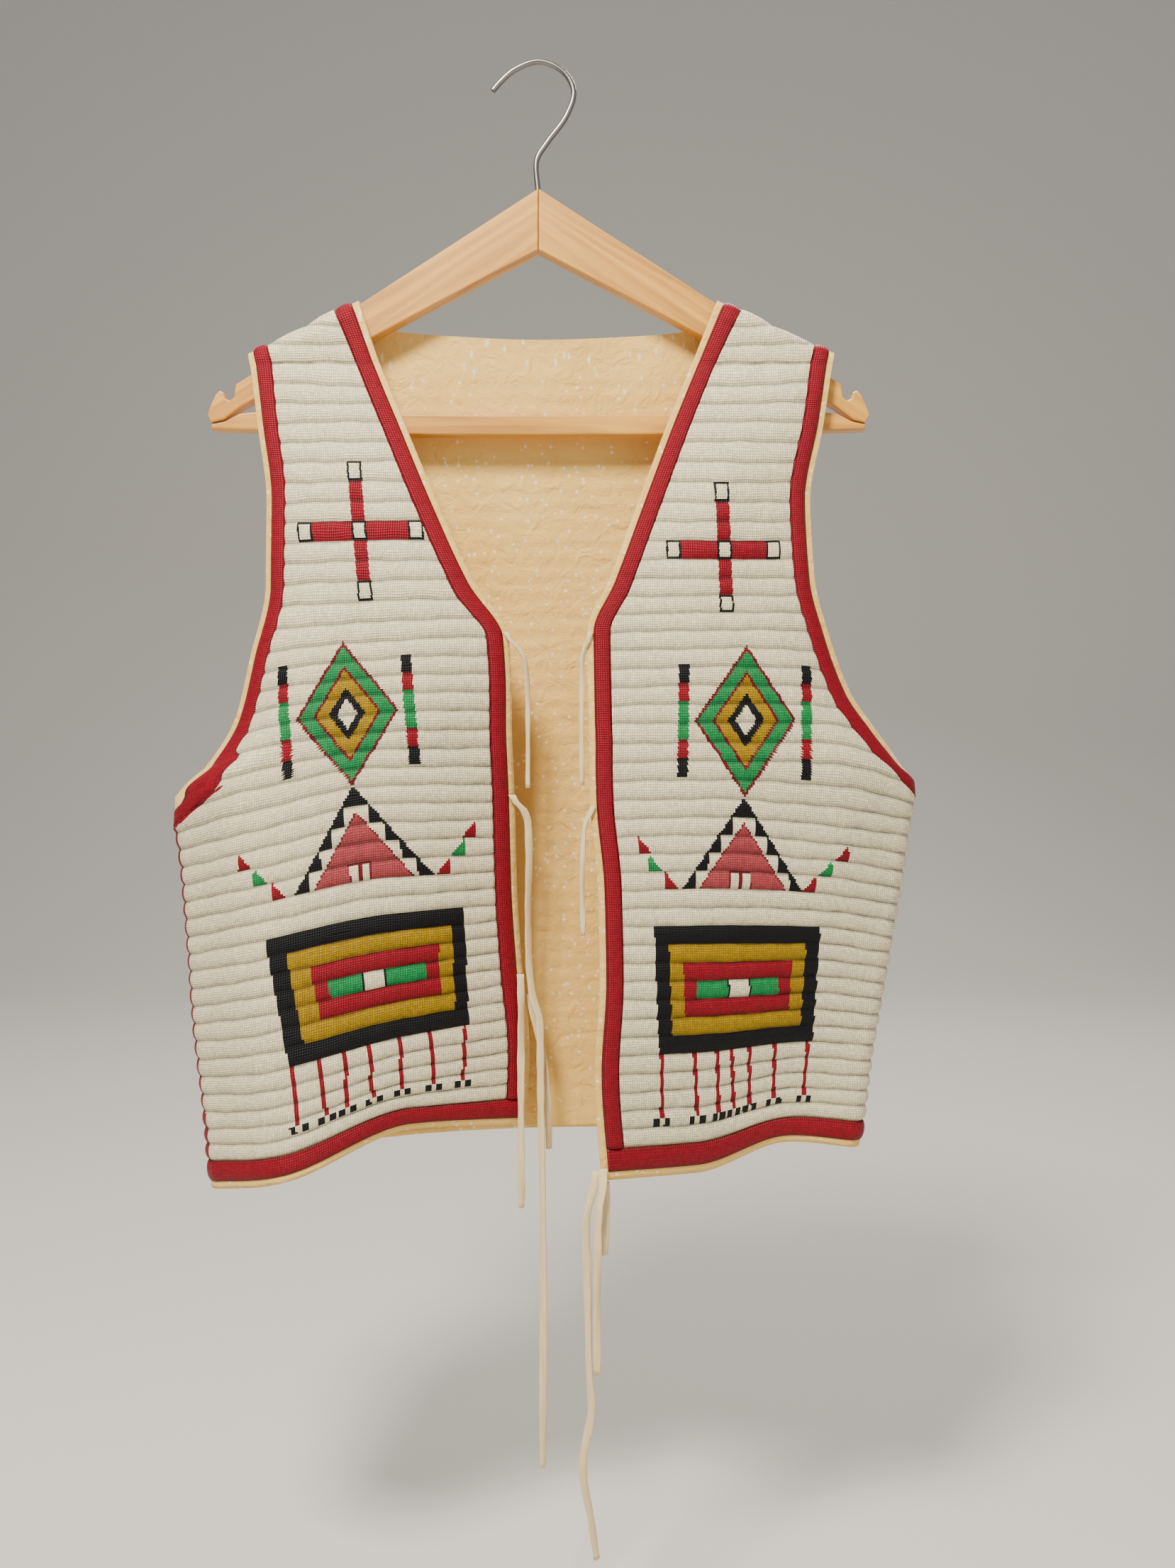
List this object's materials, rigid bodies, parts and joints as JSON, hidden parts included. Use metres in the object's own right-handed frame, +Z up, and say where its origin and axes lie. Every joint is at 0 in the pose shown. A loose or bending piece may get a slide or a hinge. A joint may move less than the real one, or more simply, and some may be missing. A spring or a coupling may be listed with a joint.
{
  "type": "beaded vest",
  "caption": "Fully beaded hide vest with open front, red border lanes and hide ties, hung flat on a wooden hanger with a wire hook.",
  "frame": {"origin": "where the crown of the hanger's hook rests on a wall pin", "axes": "+Z up, -Y towards the viewer of the vest's front, +X to that viewer's right"},
  "size_m": [0.5018, 0.1013, 0.9767],
  "materials": {
    "beadwork": "off-white glass seed beads in raised lanes over tanned hide",
    "border": "red glass seed beads in one border lane",
    "hide_tie": "soft tanned hide thong, matt",
    "wood": "pale varnished wood with fine grain",
    "steel": "bright bent wire"
  },
  "bodies": {
    "root": {"front_left": "beadwork", "front_right": "beadwork", "back": "beadwork", "border_front_left": "border", "border_armhole_left": "border", "border_hem_left": "border", "border_front_right": "border", "border_armhole_right": "border", "border_hem_right": "border", "border_neck_back": "border", "border_armhole_back_left": "border", "border_armhole_back_right": "border", "border_hem_back": "border", "hanger_arm_left": "wood", "hanger_arm_right": "wood", "hanger_bar": "wood", "hanger_hook": "steel", "tie_left_top": "hide_tie", "tie_left_edge": "hide_tie", "tie_left_long": "hide_tie", "tie_left_short": "hide_tie", "tie_right_top": "hide_tie", "tie_right_inside": "hide_tie", "tie_right_long": "hide_tie", "tie_right_middle": "hide_tie", "tie_right_stub": "hide_tie"}
  },
  "joints": []
}
